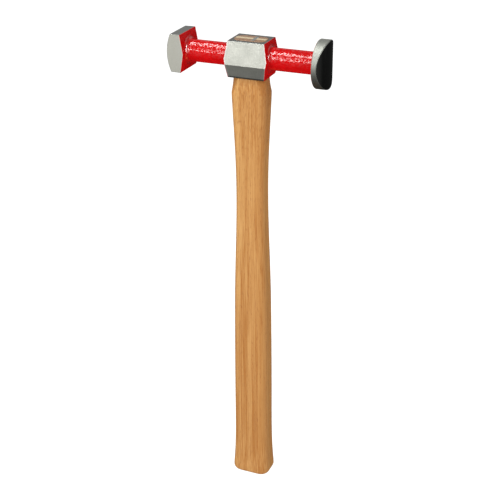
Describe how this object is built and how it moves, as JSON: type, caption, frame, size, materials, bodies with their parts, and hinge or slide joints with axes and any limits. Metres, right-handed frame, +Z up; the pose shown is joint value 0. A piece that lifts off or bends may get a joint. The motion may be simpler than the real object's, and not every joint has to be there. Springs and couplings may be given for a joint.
{
  "type": "cross peen hammer",
  "caption": "Panel beating hammer: one square face crowned up and down and one round face crowned left to right on slim round necks, with a waisted wooden handle.",
  "frame": {"origin": "middle of the flat end of the handle's butt", "axes": "+Z up the handle to the head, +X along the head towards the round face, +Y across the head"},
  "size_m": [0.1052, 0.0306, 0.329],
  "materials": {
    "forged_steel": "ground steel on the faces and on the eye block, red gloss lacquer on the necks and between",
    "red_lacquer": "gloss lacquer over rough forging",
    "hickory": "clear satin lacquer",
    "wedge_wood": "sawn end grain",
    "wedge_steel": "as rolled"
  },
  "bodies": {
    "root": {"hammer_head": "forged_steel", "handle": "hickory", "wooden_wedge": "wedge_wood", "steel_wedge": "wedge_steel"}
  },
  "joints": []
}
